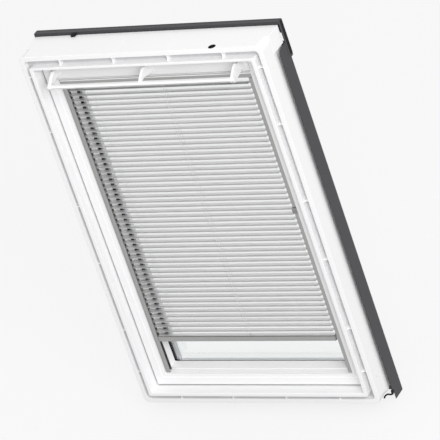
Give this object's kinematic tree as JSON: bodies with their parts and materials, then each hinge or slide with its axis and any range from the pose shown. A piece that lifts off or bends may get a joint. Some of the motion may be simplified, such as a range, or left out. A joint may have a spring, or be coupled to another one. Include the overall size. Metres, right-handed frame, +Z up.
{
  "type": "roof window with venetian blind",
  "caption": "White centre-pivot roof window with grey outer covers, a top control bar and a slatted metal blind that lifts and tilts.",
  "frame": {"origin": "on the frame's bottom face, at the middle of its width, 60 mm behind the plane of the front lip", "axes": "+Z up the slope of the window, -Y towards the room, +X to the right as seen from the room"},
  "size_m": [0.7904, 0.1785, 1.225],
  "materials": {
    "white_frame": "smooth white lacquered moulding",
    "white_sash": "smooth white lacquered moulding",
    "white_bar": "white powder coat",
    "grey_cover": "satin grey lacquered sheet",
    "glass": "clear sealed double pane",
    "blind_rail": "satin anodised",
    "slat": "light grey enamel",
    "slider": "moulded grey"
  },
  "bodies": {
    "frame": {"outer_frame": "white_frame", "frame_cladding": "grey_cover"},
    "sash": {"sash_frame": "white_sash", "sash_cladding": "grey_cover", "glass_unit": "glass", "headrail": "blind_rail", "guide_rail_left": "blind_rail", "guide_rail_right": "blind_rail"},
    "vent_bar": {"control_bar": "white_bar"},
    "blind_bottom": {"bottom_rail": "blind_rail"},
    "tilt_slide": {"tilt_slider": "slider"},
    "slat_01": {"slat_01": "slat"},
    "slat_02": {"slat_02": "slat"},
    "slat_03": {"slat_03": "slat"},
    "slat_04": {"slat_04": "slat"},
    "slat_05": {"slat_05": "slat"},
    "slat_06": {"slat_06": "slat"},
    "slat_07": {"slat_07": "slat"},
    "slat_08": {"slat_08": "slat"},
    "slat_09": {"slat_09": "slat"},
    "slat_10": {"slat_10": "slat"},
    "slat_11": {"slat_11": "slat"},
    "slat_12": {"slat_12": "slat"},
    "slat_13": {"slat_13": "slat"},
    "slat_14": {"slat_14": "slat"},
    "slat_15": {"slat_15": "slat"},
    "slat_16": {"slat_16": "slat"},
    "slat_17": {"slat_17": "slat"},
    "slat_18": {"slat_18": "slat"},
    "slat_19": {"slat_19": "slat"},
    "slat_20": {"slat_20": "slat"},
    "slat_21": {"slat_21": "slat"},
    "slat_22": {"slat_22": "slat"},
    "slat_23": {"slat_23": "slat"},
    "slat_24": {"slat_24": "slat"},
    "slat_25": {"slat_25": "slat"},
    "slat_26": {"slat_26": "slat"},
    "slat_27": {"slat_27": "slat"},
    "slat_28": {"slat_28": "slat"},
    "slat_29": {"slat_29": "slat"},
    "slat_30": {"slat_30": "slat"},
    "slat_31": {"slat_31": "slat"},
    "slat_32": {"slat_32": "slat"},
    "slat_33": {"slat_33": "slat"},
    "slat_34": {"slat_34": "slat"},
    "slat_35": {"slat_35": "slat"},
    "slat_36": {"slat_36": "slat"},
    "slat_37": {"slat_37": "slat"},
    "slat_38": {"slat_38": "slat"},
    "slat_39": {"slat_39": "slat"},
    "slat_40": {"slat_40": "slat"},
    "slat_41": {"slat_41": "slat"},
    "slat_42": {"slat_42": "slat"},
    "slat_43": {"slat_43": "slat"},
    "slat_44": {"slat_44": "slat"},
    "slat_45": {"slat_45": "slat"},
    "slat_46": {"slat_46": "slat"},
    "slat_47": {"slat_47": "slat"},
    "slat_48": {"slat_48": "slat"},
    "slat_49": {"slat_49": "slat"}
  },
  "joints": [
    {"name": "sash_pivot", "type": "hinge", "parent": "frame", "child": "sash", "pos_m": [0, 0.015, 0.589], "axis": [1, 0, 0], "range_deg": [0, 160]},
    {"name": "vent_flap", "type": "hinge", "parent": "sash", "child": "vent_bar", "pos_m": [0, -0.016, 1.089], "axis": [1, 0, 0], "range_deg": [0, 30]},
    {"name": "blind_raise", "type": "slide", "parent": "sash", "child": "blind_bottom", "axis": [0, 0, 1], "range_m": [0, 0.76], "deforming": ["slat_01", "slat_02", "slat_03", "slat_04", "slat_05", "slat_06", "slat_07", "slat_08", "slat_09", "slat_10", "slat_11", "slat_12", "slat_13", "slat_14", "slat_15", "slat_16", "slat_17", "slat_18", "slat_19", "slat_20", "slat_21", "slat_22", "slat_23", "slat_24", "slat_25", "slat_26", "slat_27", "slat_28", "slat_29", "slat_30", "slat_31", "slat_32", "slat_33", "slat_34", "slat_35", "slat_36", "slat_37", "slat_38", "slat_39", "slat_40", "slat_41", "slat_42", "slat_43", "slat_44", "slat_45", "slat_46", "slat_47", "slat_48", "slat_49"]},
    {"name": "tilt_slider_slide", "type": "slide", "parent": "sash", "child": "tilt_slide", "axis": [0, 0, 1], "range_m": [-0.05, 0]},
    {"name": "slat_tilt_01", "type": "hinge", "parent": "sash", "child": "slat_01", "pos_m": [0, -0.007, 1.0431], "axis": [1, 0, 0], "range_deg": [-75.5, 0.5]},
    {"name": "slat_tilt_02", "type": "hinge", "parent": "sash", "child": "slat_02", "pos_m": [0, -0.007, 1.02605], "axis": [1, 0, 0], "range_deg": [-75.5, 0.5]},
    {"name": "slat_tilt_03", "type": "hinge", "parent": "sash", "child": "slat_03", "pos_m": [0, -0.007, 1.009], "axis": [1, 0, 0], "range_deg": [-75.5, 0.5]},
    {"name": "slat_tilt_04", "type": "hinge", "parent": "sash", "child": "slat_04", "pos_m": [0, -0.007, 0.99195], "axis": [1, 0, 0], "range_deg": [-75.5, 0.5]},
    {"name": "slat_tilt_05", "type": "hinge", "parent": "sash", "child": "slat_05", "pos_m": [0, -0.007, 0.9749], "axis": [1, 0, 0], "range_deg": [-75.5, 0.5]},
    {"name": "slat_tilt_06", "type": "hinge", "parent": "sash", "child": "slat_06", "pos_m": [0, -0.007, 0.95785], "axis": [1, 0, 0], "range_deg": [-75.5, 0.5]},
    {"name": "slat_tilt_07", "type": "hinge", "parent": "sash", "child": "slat_07", "pos_m": [0, -0.007, 0.9408], "axis": [1, 0, 0], "range_deg": [-75.5, 0.5]},
    {"name": "slat_tilt_08", "type": "hinge", "parent": "sash", "child": "slat_08", "pos_m": [0, -0.007, 0.92375], "axis": [1, 0, 0], "range_deg": [-75.5, 0.5]},
    {"name": "slat_tilt_09", "type": "hinge", "parent": "sash", "child": "slat_09", "pos_m": [0, -0.007, 0.9067], "axis": [1, 0, 0], "range_deg": [-75.5, 0.5]},
    {"name": "slat_tilt_10", "type": "hinge", "parent": "sash", "child": "slat_10", "pos_m": [0, -0.007, 0.88965], "axis": [1, 0, 0], "range_deg": [-75.5, 0.5]},
    {"name": "slat_tilt_11", "type": "hinge", "parent": "sash", "child": "slat_11", "pos_m": [0, -0.007, 0.8726], "axis": [1, 0, 0], "range_deg": [-75.5, 0.5]},
    {"name": "slat_tilt_12", "type": "hinge", "parent": "sash", "child": "slat_12", "pos_m": [0, -0.007, 0.85555], "axis": [1, 0, 0], "range_deg": [-75.5, 0.5]},
    {"name": "slat_tilt_13", "type": "hinge", "parent": "sash", "child": "slat_13", "pos_m": [0, -0.007, 0.8385], "axis": [1, 0, 0], "range_deg": [-75.5, 0.5]},
    {"name": "slat_tilt_14", "type": "hinge", "parent": "sash", "child": "slat_14", "pos_m": [0, -0.007, 0.82145], "axis": [1, 0, 0], "range_deg": [-75.5, 0.5]},
    {"name": "slat_tilt_15", "type": "hinge", "parent": "sash", "child": "slat_15", "pos_m": [0, -0.007, 0.8044], "axis": [1, 0, 0], "range_deg": [-75.5, 0.5]},
    {"name": "slat_tilt_16", "type": "hinge", "parent": "sash", "child": "slat_16", "pos_m": [0, -0.007, 0.78735], "axis": [1, 0, 0], "range_deg": [-75.5, 0.5]},
    {"name": "slat_tilt_17", "type": "hinge", "parent": "sash", "child": "slat_17", "pos_m": [0, -0.007, 0.7703], "axis": [1, 0, 0], "range_deg": [-75.5, 0.5]},
    {"name": "slat_tilt_18", "type": "hinge", "parent": "sash", "child": "slat_18", "pos_m": [0, -0.007, 0.75325], "axis": [1, 0, 0], "range_deg": [-75.5, 0.5]},
    {"name": "slat_tilt_19", "type": "hinge", "parent": "sash", "child": "slat_19", "pos_m": [0, -0.007, 0.7362], "axis": [1, 0, 0], "range_deg": [-75.5, 0.5]},
    {"name": "slat_tilt_20", "type": "hinge", "parent": "sash", "child": "slat_20", "pos_m": [0, -0.007, 0.71915], "axis": [1, 0, 0], "range_deg": [-75.5, 0.5]},
    {"name": "slat_tilt_21", "type": "hinge", "parent": "sash", "child": "slat_21", "pos_m": [0, -0.007, 0.7021], "axis": [1, 0, 0], "range_deg": [-75.5, 0.5]},
    {"name": "slat_tilt_22", "type": "hinge", "parent": "sash", "child": "slat_22", "pos_m": [0, -0.007, 0.68505], "axis": [1, 0, 0], "range_deg": [-75.5, 0.5]},
    {"name": "slat_tilt_23", "type": "hinge", "parent": "sash", "child": "slat_23", "pos_m": [0, -0.007, 0.668], "axis": [1, 0, 0], "range_deg": [-75.5, 0.5]},
    {"name": "slat_tilt_24", "type": "hinge", "parent": "sash", "child": "slat_24", "pos_m": [0, -0.007, 0.65095], "axis": [1, 0, 0], "range_deg": [-75.5, 0.5]},
    {"name": "slat_tilt_25", "type": "hinge", "parent": "sash", "child": "slat_25", "pos_m": [0, -0.007, 0.6339], "axis": [1, 0, 0], "range_deg": [-75.5, 0.5]},
    {"name": "slat_tilt_26", "type": "hinge", "parent": "sash", "child": "slat_26", "pos_m": [0, -0.007, 0.61685], "axis": [1, 0, 0], "range_deg": [-75.5, 0.5]},
    {"name": "slat_tilt_27", "type": "hinge", "parent": "sash", "child": "slat_27", "pos_m": [0, -0.007, 0.5998], "axis": [1, 0, 0], "range_deg": [-75.5, 0.5]},
    {"name": "slat_tilt_28", "type": "hinge", "parent": "sash", "child": "slat_28", "pos_m": [0, -0.007, 0.58275], "axis": [1, 0, 0], "range_deg": [-75.5, 0.5]},
    {"name": "slat_tilt_29", "type": "hinge", "parent": "sash", "child": "slat_29", "pos_m": [0, -0.007, 0.5657], "axis": [1, 0, 0], "range_deg": [-75.5, 0.5]},
    {"name": "slat_tilt_30", "type": "hinge", "parent": "sash", "child": "slat_30", "pos_m": [0, -0.007, 0.54865], "axis": [1, 0, 0], "range_deg": [-75.5, 0.5]},
    {"name": "slat_tilt_31", "type": "hinge", "parent": "sash", "child": "slat_31", "pos_m": [0, -0.007, 0.5316], "axis": [1, 0, 0], "range_deg": [-75.5, 0.5]},
    {"name": "slat_tilt_32", "type": "hinge", "parent": "sash", "child": "slat_32", "pos_m": [0, -0.007, 0.51455], "axis": [1, 0, 0], "range_deg": [-75.5, 0.5]},
    {"name": "slat_tilt_33", "type": "hinge", "parent": "sash", "child": "slat_33", "pos_m": [0, -0.007, 0.4975], "axis": [1, 0, 0], "range_deg": [-75.5, 0.5]},
    {"name": "slat_tilt_34", "type": "hinge", "parent": "sash", "child": "slat_34", "pos_m": [0, -0.007, 0.48045], "axis": [1, 0, 0], "range_deg": [-75.5, 0.5]},
    {"name": "slat_tilt_35", "type": "hinge", "parent": "sash", "child": "slat_35", "pos_m": [0, -0.007, 0.4634], "axis": [1, 0, 0], "range_deg": [-75.5, 0.5]},
    {"name": "slat_tilt_36", "type": "hinge", "parent": "sash", "child": "slat_36", "pos_m": [0, -0.007, 0.44635], "axis": [1, 0, 0], "range_deg": [-75.5, 0.5]},
    {"name": "slat_tilt_37", "type": "hinge", "parent": "sash", "child": "slat_37", "pos_m": [0, -0.007, 0.4293], "axis": [1, 0, 0], "range_deg": [-75.5, 0.5]},
    {"name": "slat_tilt_38", "type": "hinge", "parent": "sash", "child": "slat_38", "pos_m": [0, -0.007, 0.41225], "axis": [1, 0, 0], "range_deg": [-75.5, 0.5]},
    {"name": "slat_tilt_39", "type": "hinge", "parent": "sash", "child": "slat_39", "pos_m": [0, -0.007, 0.3952], "axis": [1, 0, 0], "range_deg": [-75.5, 0.5]},
    {"name": "slat_tilt_40", "type": "hinge", "parent": "sash", "child": "slat_40", "pos_m": [0, -0.007, 0.37815], "axis": [1, 0, 0], "range_deg": [-75.5, 0.5]},
    {"name": "slat_tilt_41", "type": "hinge", "parent": "sash", "child": "slat_41", "pos_m": [0, -0.007, 0.3611], "axis": [1, 0, 0], "range_deg": [-75.5, 0.5]},
    {"name": "slat_tilt_42", "type": "hinge", "parent": "sash", "child": "slat_42", "pos_m": [0, -0.007, 0.34405], "axis": [1, 0, 0], "range_deg": [-75.5, 0.5]},
    {"name": "slat_tilt_43", "type": "hinge", "parent": "sash", "child": "slat_43", "pos_m": [0, -0.007, 0.327], "axis": [1, 0, 0], "range_deg": [-75.5, 0.5]},
    {"name": "slat_tilt_44", "type": "hinge", "parent": "sash", "child": "slat_44", "pos_m": [0, -0.007, 0.30995], "axis": [1, 0, 0], "range_deg": [-75.5, 0.5]},
    {"name": "slat_tilt_45", "type": "hinge", "parent": "sash", "child": "slat_45", "pos_m": [0, -0.007, 0.2929], "axis": [1, 0, 0], "range_deg": [-75.5, 0.5]},
    {"name": "slat_tilt_46", "type": "hinge", "parent": "sash", "child": "slat_46", "pos_m": [0, -0.007, 0.27585], "axis": [1, 0, 0], "range_deg": [-75.5, 0.5]},
    {"name": "slat_tilt_47", "type": "hinge", "parent": "sash", "child": "slat_47", "pos_m": [0, -0.007, 0.2588], "axis": [1, 0, 0], "range_deg": [-75.5, 0.5]},
    {"name": "slat_tilt_48", "type": "hinge", "parent": "sash", "child": "slat_48", "pos_m": [0, -0.007, 0.24175], "axis": [1, 0, 0], "range_deg": [-75.5, 0.5]},
    {"name": "slat_tilt_49", "type": "hinge", "parent": "sash", "child": "slat_49", "pos_m": [0, -0.007, 0.2247], "axis": [1, 0, 0], "range_deg": [-75.5, 0.5]}
  ],
  "couplings": [
    {"joint": "slat_tilt_01", "follows": "tilt_slider_slide", "rad_per_m": 26.18},
    {"joint": "slat_tilt_02", "follows": "tilt_slider_slide", "rad_per_m": 26.18},
    {"joint": "slat_tilt_03", "follows": "tilt_slider_slide", "rad_per_m": 26.18},
    {"joint": "slat_tilt_04", "follows": "tilt_slider_slide", "rad_per_m": 26.18},
    {"joint": "slat_tilt_05", "follows": "tilt_slider_slide", "rad_per_m": 26.18},
    {"joint": "slat_tilt_06", "follows": "tilt_slider_slide", "rad_per_m": 26.18},
    {"joint": "slat_tilt_07", "follows": "tilt_slider_slide", "rad_per_m": 26.18},
    {"joint": "slat_tilt_08", "follows": "tilt_slider_slide", "rad_per_m": 26.18},
    {"joint": "slat_tilt_09", "follows": "tilt_slider_slide", "rad_per_m": 26.18},
    {"joint": "slat_tilt_10", "follows": "tilt_slider_slide", "rad_per_m": 26.18},
    {"joint": "slat_tilt_11", "follows": "tilt_slider_slide", "rad_per_m": 26.18},
    {"joint": "slat_tilt_12", "follows": "tilt_slider_slide", "rad_per_m": 26.18},
    {"joint": "slat_tilt_13", "follows": "tilt_slider_slide", "rad_per_m": 26.18},
    {"joint": "slat_tilt_14", "follows": "tilt_slider_slide", "rad_per_m": 26.18},
    {"joint": "slat_tilt_15", "follows": "tilt_slider_slide", "rad_per_m": 26.18},
    {"joint": "slat_tilt_16", "follows": "tilt_slider_slide", "rad_per_m": 26.18},
    {"joint": "slat_tilt_17", "follows": "tilt_slider_slide", "rad_per_m": 26.18},
    {"joint": "slat_tilt_18", "follows": "tilt_slider_slide", "rad_per_m": 26.18},
    {"joint": "slat_tilt_19", "follows": "tilt_slider_slide", "rad_per_m": 26.18},
    {"joint": "slat_tilt_20", "follows": "tilt_slider_slide", "rad_per_m": 26.18},
    {"joint": "slat_tilt_21", "follows": "tilt_slider_slide", "rad_per_m": 26.18},
    {"joint": "slat_tilt_22", "follows": "tilt_slider_slide", "rad_per_m": 26.18},
    {"joint": "slat_tilt_23", "follows": "tilt_slider_slide", "rad_per_m": 26.18},
    {"joint": "slat_tilt_24", "follows": "tilt_slider_slide", "rad_per_m": 26.18},
    {"joint": "slat_tilt_25", "follows": "tilt_slider_slide", "rad_per_m": 26.18},
    {"joint": "slat_tilt_26", "follows": "tilt_slider_slide", "rad_per_m": 26.18},
    {"joint": "slat_tilt_27", "follows": "tilt_slider_slide", "rad_per_m": 26.18},
    {"joint": "slat_tilt_28", "follows": "tilt_slider_slide", "rad_per_m": 26.18},
    {"joint": "slat_tilt_29", "follows": "tilt_slider_slide", "rad_per_m": 26.18},
    {"joint": "slat_tilt_30", "follows": "tilt_slider_slide", "rad_per_m": 26.18},
    {"joint": "slat_tilt_31", "follows": "tilt_slider_slide", "rad_per_m": 26.18},
    {"joint": "slat_tilt_32", "follows": "tilt_slider_slide", "rad_per_m": 26.18},
    {"joint": "slat_tilt_33", "follows": "tilt_slider_slide", "rad_per_m": 26.18},
    {"joint": "slat_tilt_34", "follows": "tilt_slider_slide", "rad_per_m": 26.18},
    {"joint": "slat_tilt_35", "follows": "tilt_slider_slide", "rad_per_m": 26.18},
    {"joint": "slat_tilt_36", "follows": "tilt_slider_slide", "rad_per_m": 26.18},
    {"joint": "slat_tilt_37", "follows": "tilt_slider_slide", "rad_per_m": 26.18},
    {"joint": "slat_tilt_38", "follows": "tilt_slider_slide", "rad_per_m": 26.18},
    {"joint": "slat_tilt_39", "follows": "tilt_slider_slide", "rad_per_m": 26.18},
    {"joint": "slat_tilt_40", "follows": "tilt_slider_slide", "rad_per_m": 26.18},
    {"joint": "slat_tilt_41", "follows": "tilt_slider_slide", "rad_per_m": 26.18},
    {"joint": "slat_tilt_42", "follows": "tilt_slider_slide", "rad_per_m": 26.18},
    {"joint": "slat_tilt_43", "follows": "tilt_slider_slide", "rad_per_m": 26.18},
    {"joint": "slat_tilt_44", "follows": "tilt_slider_slide", "rad_per_m": 26.18},
    {"joint": "slat_tilt_45", "follows": "tilt_slider_slide", "rad_per_m": 26.18},
    {"joint": "slat_tilt_46", "follows": "tilt_slider_slide", "rad_per_m": 26.18},
    {"joint": "slat_tilt_47", "follows": "tilt_slider_slide", "rad_per_m": 26.18},
    {"joint": "slat_tilt_48", "follows": "tilt_slider_slide", "rad_per_m": 26.18},
    {"joint": "slat_tilt_49", "follows": "tilt_slider_slide", "rad_per_m": 26.18}
  ]
}
